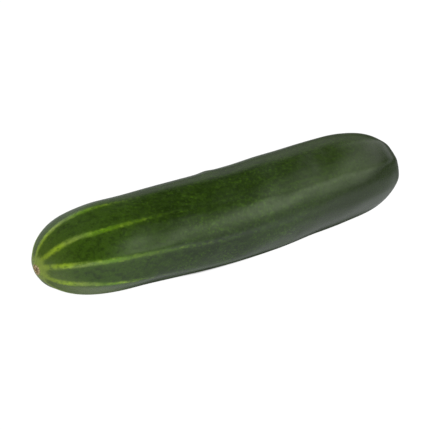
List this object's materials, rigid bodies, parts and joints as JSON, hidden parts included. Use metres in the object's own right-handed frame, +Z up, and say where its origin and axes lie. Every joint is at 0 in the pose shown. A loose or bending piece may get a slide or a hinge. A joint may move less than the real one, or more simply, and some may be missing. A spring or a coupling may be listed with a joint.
{
  "type": "cucumber",
  "caption": "Whole slicing cucumber lying on its side, gently bowed, with low ribs, a blossom scar at one end and a cut stem at the other.",
  "frame": {"origin": "on the surface that the fruit lies on, under the middle of its box", "axes": "+X along the fruit from the blossom end to the stem end, +Z up, and -Y the side that the fruit bows towards"},
  "size_m": [0.2256, 0.055, 0.0517],
  "materials": {
    "skin": "waxy dark green skin, satin, with pale green stripes from the blossom end"
  },
  "bodies": {
    "root": {"cucumber": "skin"}
  },
  "joints": []
}
